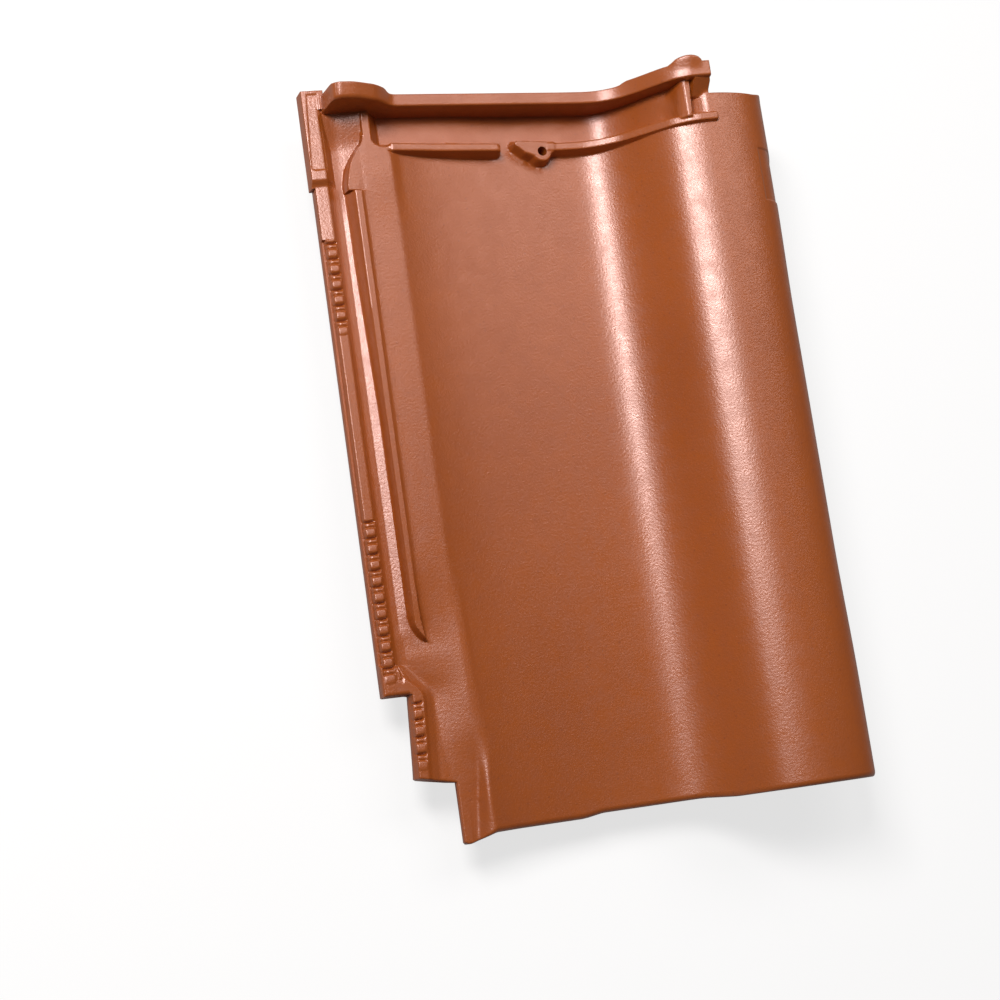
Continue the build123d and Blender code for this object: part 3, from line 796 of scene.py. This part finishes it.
    def under_lines(self) -> tuple[Grid, Grid]:
        """Grid lines of the underside, across and down the tile.

        Returns:
            Lines across, placed so that the moved places fall on the sides of what hangs
            below, and lines down.
        """
        fixed = [self.edge_x, self.flange_x, 1.6, 2.9, self.head_start_x, self.second_x, 16,
                 20, 24, 28, self.strip_x, 34, 37]
        sides = []
        for middle in self.nib_middles:
            a, b = middle - self.nib_half, middle + self.nib_half
            sides += [a - 1.4, a, a + 1.2, b - 1.2, b, b + 1.4]
        sides += [40.6, 43, 44.2, 166.8, 168, 171, 222, 222.9, 223.7, 228.3, 229.1, 230]
        at, _, _, rise = self.section_line(self.under_knots)
        moved = at + self.clay * rise
        spread = np.arange(48, 240, 5)
        wanted = np.concatenate([sides, spread])
        back = np.interp(wanted, moved, at)
        across = np.concatenate([fixed, back, [self.rib_end_x, self.width]])
        down = lines((-5, 0, 2.5), (0, 7.6, 3.8), (7.6, 9.2, 0.3), (9.2, 22.8, 4.5),
                     (22.8, 24.4, 0.3), (24.4, 45, 7), (45, 298, 8), (298, 299, 0.5),
                     (299, 337.7, 7), (337.7, 357.2, 6), (357.2, 360, 0.4),
                     (360, 368, 2.7))
        down = np.unique(np.concatenate([down, [13.2, 21, 21.4]]))
        across = np.unique(np.round(across, 3))
        keep = np.concatenate([[True], np.diff(across) > 0.12])
        corners = [self.rib_end_x, self.width, self.strip_x, self.second_x, self.head_start_x]
        across = across[keep | np.isin(across, corners)]
        return across, down

    def build(self) -> tuple[Grid, Grid]:
        """Works out the whole closed surface.

        Returns:
            Vertices in metres in the part's frame, and triangles as rows of vertex numbers.
        """
        tops = self.top_lines()
        points: list[Grid] = []
        faces: list[Grid] = []
        grids = []
        base = 0
        for across, along in [*tops, self.under_lines()]:
            below = len(grids) == len(tops)
            x, down = np.meshgrid(across, along, indexing="ij")
            new_x, new_down = self.bend(x, down)
            if below:
                moved, z = self.under(x, down)
                new_x = new_x + moved - x
            else:
                z = self.top(x, down) - self.round_edge(x, down)
            points.append(np.stack([new_x - self.centre_x, self.centre_down - new_down, z], -1)
                          .reshape(-1, 3))
            ids = base + np.arange(x.size).reshape(x.shape)
            base += x.size
            middle_x = (across[:-1, None] + across[1:, None]) / 2
            middle_down = (along[None, :-1] + along[None, 1:]) / 2
            keep = self.inside(middle_x, middle_down) > 0.0
            a, b, c, d = ids[:-1, :-1], ids[1:, :-1], ids[1:, 1:], ids[:-1, 1:]
            near = np.stack([a, b, c], -1)[keep], np.stack([a, c, d], -1)[keep]
            faces += [part[:, ::-1] if below else part for part in near]
            grids.append((across, along, ids))
        for one, other, end in ((grids[0], grids[1], self.step_2), (grids[1], grids[2], 400.0)):
            use = (one[1] > -1e-3) & (one[1] < end + 1e-3)
            use_other = other[1] < end + 1e-3
            faces.append(self.zip(one[2][-1][use], one[1][use],
                                  other[2][0][use_other], other[1][use_other]))
        faces.append(self.walls(grids))
        return np.concatenate(points) * MM, np.concatenate(faces)

    @staticmethod
    def zip(one: Grid, at_one: Grid, other: Grid,
            at_other: Grid) -> Grid:
        """Triangles between two rows of vertices that run the same way.

        The rows are walked together in order of place, and each step on one row makes a
        triangle with the vertex reached on the other.

        Args:
            one: vertex numbers of the first row.
            at_one: places along it, in rising order.
            other: vertex numbers of the second row.
            at_other: places along it, with the same ends.

        Returns:
            The triangles.
        """
        reached = np.searchsorted(at_other, at_one[1:] + 1e-6, "right") - 1
        first = np.stack([one[:-1], one[1:], other[reached]], -1)
        behind = np.maximum(np.searchsorted(at_one, at_other[1:] - 1e-6, "left") - 1, 0)
        second = np.stack([other[1:], other[:-1], one[behind]], -1)
        return np.concatenate([first, second])

    def walls(self, grids: list[tuple[Grid, Grid, Grid]]) -> Grid:
        """Walls around the outline, between the upper surface and the underside.

        Args:
            grids: lines across, lines down and vertex numbers of the upper patches and, last,
                of the underside.

        Returns:
            The triangles.
        """
        tops = grids[:-1]
        under_x, under_down, under_ids = grids[-1]
        corners = self.outline()
        strips = []
        for (ax, ad), (bx, bd) in zip(corners, corners[1:] + corners[:1]):
            low, high = min((ax, ad), (bx, bd)), max((ax, ad), (bx, bd))
            if ax == bx:
                across, top_at, ids = min(tops, key=lambda grid: np.abs(grid[0] - ax).min())
                row = ids[np.argmin(np.abs(across - ax))]
                below = under_ids[np.argmin(np.abs(under_x - ax))]
                start, end = low[1], high[1]
                under_at = under_down
            else:
                row = np.concatenate([ids[:, np.argmin(np.abs(along - ad))]
                                      for _, along, ids in tops])
                top_at = np.concatenate([across for across, _, _ in tops])
                below = under_ids[:, np.argmin(np.abs(under_down - ad))]
                start, end = low[0], high[0]
                under_at = under_x
            use = (top_at > start - 1e-3) & (top_at < end + 1e-3)
            use_below = (under_at > start - 1e-3) & (under_at < end + 1e-3)
            strips.append(self.zip(row[use], top_at[use], below[use_below], under_at[use_below]))
        return np.concatenate(strips)


def add_object(name: str, data: bpy.types.ID) -> bpy.types.Object:
    """Makes an object and puts it in the scene.

    Args:
        name: name of the object.
        data: its mesh, lamp or camera.

    Returns:
        The object.
    """
    made = bpy.data.objects.new(name, data)
    bpy.context.scene.collection.objects.link(made)
    return made


def drill_nail_hole(tile: bpy.types.Object, form: PressedTile) -> bpy.types.Mesh:
    """Takes a round hole out of the tile where its nail goes.

    Args:
        tile: the tile, still whole.
        form: the tile's form, which says where the hole is.

    Returns:
        The tile's mesh with the hole.
    """
    nail_x, nail_down = form.nail
    place = Vector((nail_x - form.centre_x, form.centre_down - nail_down, form.drill_z)) * MM
    radius = form.nail_radius * MM
    drill_mesh = bpy.data.meshes.new("nail_drill")
    bm = bmesh.new()
    bmesh.ops.create_cone(bm, cap_ends=True, segments=40, radius1=radius, radius2=radius,
                          depth=form.drill_length * MM, matrix=Matrix.Translation(place))
    bm.to_mesh(drill_mesh)
    bm.free()
    drill = add_object("nail_drill", drill_mesh)
    cut = tile.modifiers.new("nail_hole", "BOOLEAN")
    cut.object = drill
    cut.operation = "DIFFERENCE"
    cut.solver = "EXACT"
    shown = tile.evaluated_get(bpy.context.evaluated_depsgraph_get())
    opened = bpy.data.meshes.new_from_object(shown)
    tile.modifiers.clear()
    bpy.data.objects.remove(drill)
    return opened


def make_tile(form: PressedTile, material: bpy.types.Material) -> bpy.types.Object:
    """Makes the tile's object, with its nail hole opened.

    Args:
        form: the tile's form.
        material: material of its surface.

    Returns:
        The tile.
    """
    points, faces = form.build()
    mesh = bpy.data.meshes.new("roof_tile_pressed")
    mesh.from_pydata(points.tolist(), [], faces.tolist())
    bm = bmesh.new()
    bm.from_mesh(mesh)
    loose = [v for v in bm.verts if not v.link_faces]
    bmesh.ops.delete(bm, geom=loose, context="VERTS")
    bmesh.ops.recalc_face_normals(bm, faces=bm.faces)
    open_edges = sum(1 for e in bm.edges if not e.is_manifold)
    bm.to_mesh(mesh)
    bm.free()
    tile = add_object("roof_tile_pressed", mesh)
    tile.data = drill_nail_hole(tile, form)
    tile.data.shade_smooth()
    tile.data.set_sharp_from_angle(angle=math.radians(form.sharp_angle))
    tile.data.materials.clear()
    tile.data.materials.append(material)
    log.info("tile: %d faces, %d open edges before drilling", len(tile.data.polygons), open_edges)
    return tile


# Finishes

class Scale(Enum):
    """Sizes of the engobe's patterns, as waves for each metre."""

    CLOUD = 9.0
    MOTTLE = 130.0
    PEEL = 800.0
    FLAKE = 2300.0
    SPECK = 420.0


@dataclass(frozen=True)
class Nodes:
    """Short ways to add and link nodes in one tree."""

    tree: bpy.types.NodeTree

    def add(self, kind: str, **values: object) -> bpy.types.Node:
        """Adds a node, and sets its properties or its sockets by name.

        Args:
            kind: Blender's name of the node.
            values: properties, or sockets with spaces written as underscores.

        Returns:
            The node.
        """
        node = self.tree.nodes.new(kind)
        for name, value in values.items():
            if hasattr(node, name):
                setattr(node, name, value)
            else:
                node.inputs[name.replace("_", " ")].default_value = value
        return node

    def link(self, source: bpy.types.NodeSocket, target: bpy.types.NodeSocket) -> None:
        """Links one socket to another."""
        self.tree.links.new(source, target)

    def feed(self, sockets: Iterable[bpy.types.NodeSocket], values: Iterable[object]) -> None:
        """Links each value that is a socket, and sets each that is a number or colour."""
        for socket, value in zip(sockets, values):
            if isinstance(value, bpy.types.NodeSocket):
                self.link(value, socket)
            else:
                socket.default_value = value

    def math(self, operation: str, *values: object) -> bpy.types.NodeSocket:
        """Adds a Math node.

        Args:
            operation: Blender's name of the operation.
            values: what goes in, as sockets or numbers.

        Returns:
            What the node puts out.
        """
        node = self.add("ShaderNodeMath", operation=operation)
        self.feed(node.inputs, values)
        return node.outputs[0]

    def noise(self, where: bpy.types.NodeSocket, scale: float, detail: float = 2.0,
              rough: float = 0.5) -> bpy.types.NodeSocket:
        """Adds a Noise Texture.

        Args:
            where: coordinates that it reads.
            scale: waves for each metre.
            detail: number of finer layers.
            rough: strength of each finer layer.

        Returns:
            Its value.
        """
        node = self.add("ShaderNodeTexNoise", Scale=scale, Detail=detail, Roughness=rough)
        self.link(where, node.inputs["Vector"])
        return node.outputs[0]

    def span(self, value: bpy.types.NodeSocket, start: float, end: float, low: float = 0.0,
             high: float = 1.0) -> bpy.types.NodeSocket:
        """Adds a clamped Map Range node.

        Args:
            value: what goes in.
            start: value at which the range begins.
            end: value at which it ends.
            low: what comes out at the start.
            high: what comes out at the end.

        Returns:
            What the node puts out.
        """
        node = self.add("ShaderNodeMapRange", From_Min=start, From_Max=end, To_Min=low,
                        To_Max=high)
        self.link(value, node.inputs["Value"])
        return node.outputs[0]

    def blend(self, share: object, one: object, other: object) -> bpy.types.NodeSocket:
        """Adds a colour Mix node.

        Args:
            share: share of the second colour.
            one: first colour.
            other: second colour.

        Returns:
            The mixed colour.
        """
        node = self.add("ShaderNodeMix", data_type="RGBA")
        self.feed((node.inputs[0], node.inputs[6], node.inputs[7]), (share, one, other))
        return node.outputs[2]


def make_group(name: str, numbers: dict[str, float], results: tuple[str, ...]) -> Nodes:
    """Starts a shader node group with a Vector input, number inputs and named outputs.

    Args:
        name: name of the group.
        numbers: number inputs and their defaults.
        results: names of the outputs, which are numbers.

    Returns:
        The group's nodes.
    """
    tree = bpy.data.node_groups.new(name, "ShaderNodeTree")
    tree.interface.new_socket(name="Vector", in_out="INPUT", socket_type="NodeSocketVector")
    for label, value in numbers.items():
        socket = tree.interface.new_socket(name=label, in_out="INPUT",
                                           socket_type="NodeSocketFloat")
        socket.default_value = value
    for label in results:
        tree.interface.new_socket(name=label, in_out="OUTPUT", socket_type="NodeSocketFloat")
    return Nodes(tree)


def orange_peel_group() -> bpy.types.NodeTree:
    """Group for the sprayed engobe's skin: a height of soft dimples and fine grains.

    Returns:
        The group, whose Height is a share of the bump's full depth.
    """
    nodes = make_group("orange_peel", {"Grain": 0.5}, ("Height",))
    start = nodes.add("NodeGroupInput")
    end = nodes.add("NodeGroupOutput")
    where = start.outputs["Vector"]
    peel = nodes.noise(where, Scale.PEEL.value, 2.0, 0.55)
    flake = nodes.noise(where, Scale.FLAKE.value, 1.0, 0.5)
    grain = nodes.math("MULTIPLY", flake, start.outputs["Grain"])
    nodes.link(nodes.math("ADD", peel, grain), end.inputs["Height"])
    return nodes.tree


def mottle_group() -> bpy.types.NodeTree:
    """Group for uneven colour: broad clouds, small mottling and single dark specks.

    Returns:
        The group, whose outputs are shares from 0 to 1.
    """
    nodes = make_group("engobe_mottle", {"Specks": 0.5}, ("Cloud", "Mottle", "Speck"))
    start = nodes.add("NodeGroupInput")
    end = nodes.add("NodeGroupOutput")
    where = start.outputs["Vector"]
    nodes.link(nodes.span(nodes.noise(where, Scale.CLOUD.value, 3.0, 0.55), 0.3, 0.7),
               end.inputs["Cloud"])
    nodes.link(nodes.span(nodes.noise(where, Scale.MOTTLE.value, 4.0, 0.6), 0.3, 0.7),
               end.inputs["Mottle"])
    cells = nodes.add("ShaderNodeTexVoronoi", feature="F1", Scale=Scale.SPECK.value)
    nodes.link(where, cells.inputs["Vector"])
    dot = nodes.span(cells.outputs["Distance"], 0.16, 0.3, 1.0, 0.0)
    chosen = nodes.add("ShaderNodeSeparateColor")
    nodes.link(cells.outputs["Color"], chosen.inputs[0])
    few = nodes.math("GREATER_THAN", chosen.outputs[0], 0.9)
    speck = nodes.math("MULTIPLY", nodes.math("MULTIPLY", dot, few), start.outputs["Specks"])
    nodes.link(speck, end.inputs["Speck"])
    return nodes.tree


@dataclass(frozen=True)
class SatinEngobe:
    """Copper-brown satin engobe on fired clay."""

    deep: Colour = (0.26, 0.054, 0.0035, 1.0)
    warm: Colour = (0.335, 0.076, 0.0075, 1.0)
    speck: Colour = (0.21, 0.045, 0.008, 1.0)
    sheen_tint: Colour = (1.0, 0.78, 0.75, 1.0)
    roughness: float = 0.36
    roughness_swing: float = 0.05
    cloud_share: float = 0.6
    refraction: float = 1.62
    specular_level: float = 0.9
    peel_depth: float = 0.00011

    def make(self) -> bpy.types.Material:
        """Builds the material on Object coordinates.

        Returns:
            The material.
        """
        material = bpy.data.materials.new("satin_engobe")
        material.use_nodes = True
        nodes = Nodes(material.node_tree)
        nodes.tree.nodes.clear()
        where = nodes.add("ShaderNodeTexCoord").outputs["Object"]
        mottle = nodes.add("ShaderNodeGroup", node_tree=mottle_group())
        peel = nodes.add("ShaderNodeGroup", node_tree=orange_peel_group())
        nodes.link(where, mottle.inputs["Vector"])
        nodes.link(where, peel.inputs["Vector"])
        cloud = nodes.math("MULTIPLY", mottle.outputs["Cloud"], self.cloud_share)
        fine = nodes.math("MULTIPLY", mottle.outputs["Mottle"], 1.0 - self.cloud_share)
        share = nodes.math("ADD", cloud, fine)
        colour = nodes.blend(share, self.deep, self.warm)
        colour = nodes.blend(mottle.outputs["Speck"], colour, self.speck)
        rough = nodes.span(mottle.outputs["Mottle"], 0.0, 1.0,
                           self.roughness + self.roughness_swing,
                           self.roughness - self.roughness_swing)
        bump = nodes.add("ShaderNodeBump", Strength=1.0, Distance=self.peel_depth)
        nodes.link(peel.outputs["Height"], bump.inputs["Height"])
        skin = nodes.add("ShaderNodeBsdfPrincipled")
        skin.inputs["IOR"].default_value = self.refraction
        skin.inputs["Specular IOR Level"].default_value = self.specular_level
        skin.inputs["Specular Tint"].default_value = self.sheen_tint
        nodes.link(colour, skin.inputs["Base Color"])
        nodes.link(rough, skin.inputs["Roughness"])
        nodes.link(bump.outputs["Normal"], skin.inputs["Normal"])
        out = nodes.add("ShaderNodeOutputMaterial")
        nodes.link(skin.outputs[0], out.inputs[0])
        return material


# Stage

@dataclass(frozen=True)
class Lamp:
    """A soft rectangular lamp: place, sides and target in metres, power in watts."""

    name: str
    place: Triple
    size: Pair
    power: float
    colour: Triple
    target: Triple

    def hang(self) -> None:
        """Adds the lamp to the scene, facing its target."""
        data = bpy.data.lights.new(self.name, "AREA")
        data.shape = "RECTANGLE"
        data.size, data.size_y = self.size
        data.energy = self.power
        data.color = self.colour
        lamp = add_object(self.name, data)
        lamp.location = self.place
        aim = Vector(self.target) - Vector(self.place)
        lamp.rotation_euler = aim.to_track_quat("-Z", "Y").to_euler()


@dataclass
class Studio:
    """Pale floor, soft lamps and the camera at the photograph's angle."""

    camera_place: Triple = (-0.39527, -0.17808, 0.94253)
    camera_turn: Triple = (11.90242, -19.11163, -8.70072)
    lens: float = 71.951
    sensor: float = 36.0
    floor_size: float = 8.0
    floor_drop: float = 0.0002
    floor_glow: float = 0.72
    floor_seen: Colour = (0.92, 0.92, 0.92, 1.0)
    floor_bounce: Colour = (0.42, 0.39, 0.38, 1.0)
    air_colour: Colour = (1.0, 0.97, 0.95, 1.0)
    air_strength: float = 0.10
    lamps: tuple[Lamp, ...] = (
        Lamp("overhead", (-0.68, 0.57, 1.30), (0.36, 0.62), 25.0, (1.0, 0.97, 0.96),
             (0.0, 0.0, 0.03)),
        Lamp("ceiling", (0.80, 1.15, 1.80), (1.0, 1.8), 19.0, (1.0, 0.97, 0.95),
             (0.85, 1.15, 0.0)))

    def floor(self) -> bpy.types.Object:
        """Makes the white floor, which still takes the tile's shadow.

        Returns:
            The floor.
        """
        mesh = bpy.data.meshes.new("studio_floor")
        half = self.floor_size / 2
        corners = [(-half, -half), (half, -half), (half, half), (-half, half)]
        mesh.from_pydata([(x, y, -self.floor_drop) for x, y in corners], [], [(0, 1, 2, 3)])
        floor = add_object("studio_floor", mesh)
        material = bpy.data.materials.new("white_floor")
        material.use_nodes = True
        nodes = Nodes(material.node_tree)
        nodes.tree.nodes.clear()
        paint = nodes.add("ShaderNodeBsdfDiffuse")
        glow = nodes.add("ShaderNodeEmission", Color=(1.0, 1.0, 1.0, 1.0), Strength=1.0)
        seen = nodes.add("ShaderNodeLightPath").outputs["Is Camera Ray"]
        nodes.link(nodes.blend(seen, self.floor_bounce, self.floor_seen), paint.inputs["Color"])
        share = nodes.math("MULTIPLY", seen, self.floor_glow)
        mix = nodes.add("ShaderNodeMixShader")
        nodes.link(share, mix.inputs[0])
        nodes.link(paint.outputs[0], mix.inputs[1])
        nodes.link(glow.outputs[0], mix.inputs[2])
        out = nodes.add("ShaderNodeOutputMaterial")
        nodes.link(mix.outputs[0], out.inputs[0])
        mesh.materials.append(material)
        return floor

    def light(self) -> None:
        """Sets the world's even light and hangs the lamps."""
        world = bpy.data.worlds.new("studio_air")
        bpy.context.scene.world = world
        world.use_nodes = True
        air = world.node_tree.nodes["Background"]
        air.inputs["Color"].default_value = self.air_colour
        air.inputs["Strength"].default_value = self.air_strength
        for lamp in self.lamps:
            lamp.hang()

    def camera(self) -> None:
        """Places the camera of the photograph."""
        data = bpy.data.cameras.new("photo_camera")
        data.sensor_width = self.sensor
        data.lens = self.lens
        data.clip_start = 0.01
        camera = add_object("photo_camera", data)
        camera.location = self.camera_place
        camera.rotation_euler = tuple(math.radians(angle) for angle in self.camera_turn)
        bpy.context.scene.camera = camera


def main() -> None:
    """Builds the tile, attaches it to the root body, hides the imported tile part, and builds the
    studio.
    """
    logging.basicConfig(level=logging.INFO, format="%(name)s: %(message)s")
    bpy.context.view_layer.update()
    tile = make_tile(PressedTile(), SatinEngobe().make())
    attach(tile, "root")
    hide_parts("roof_tile")
    studio = Studio()
    studio.floor()
    studio.light()
    studio.camera()
    bpy.context.scene.view_settings.view_transform = "Standard"


if __name__ == "__main__":
    main()
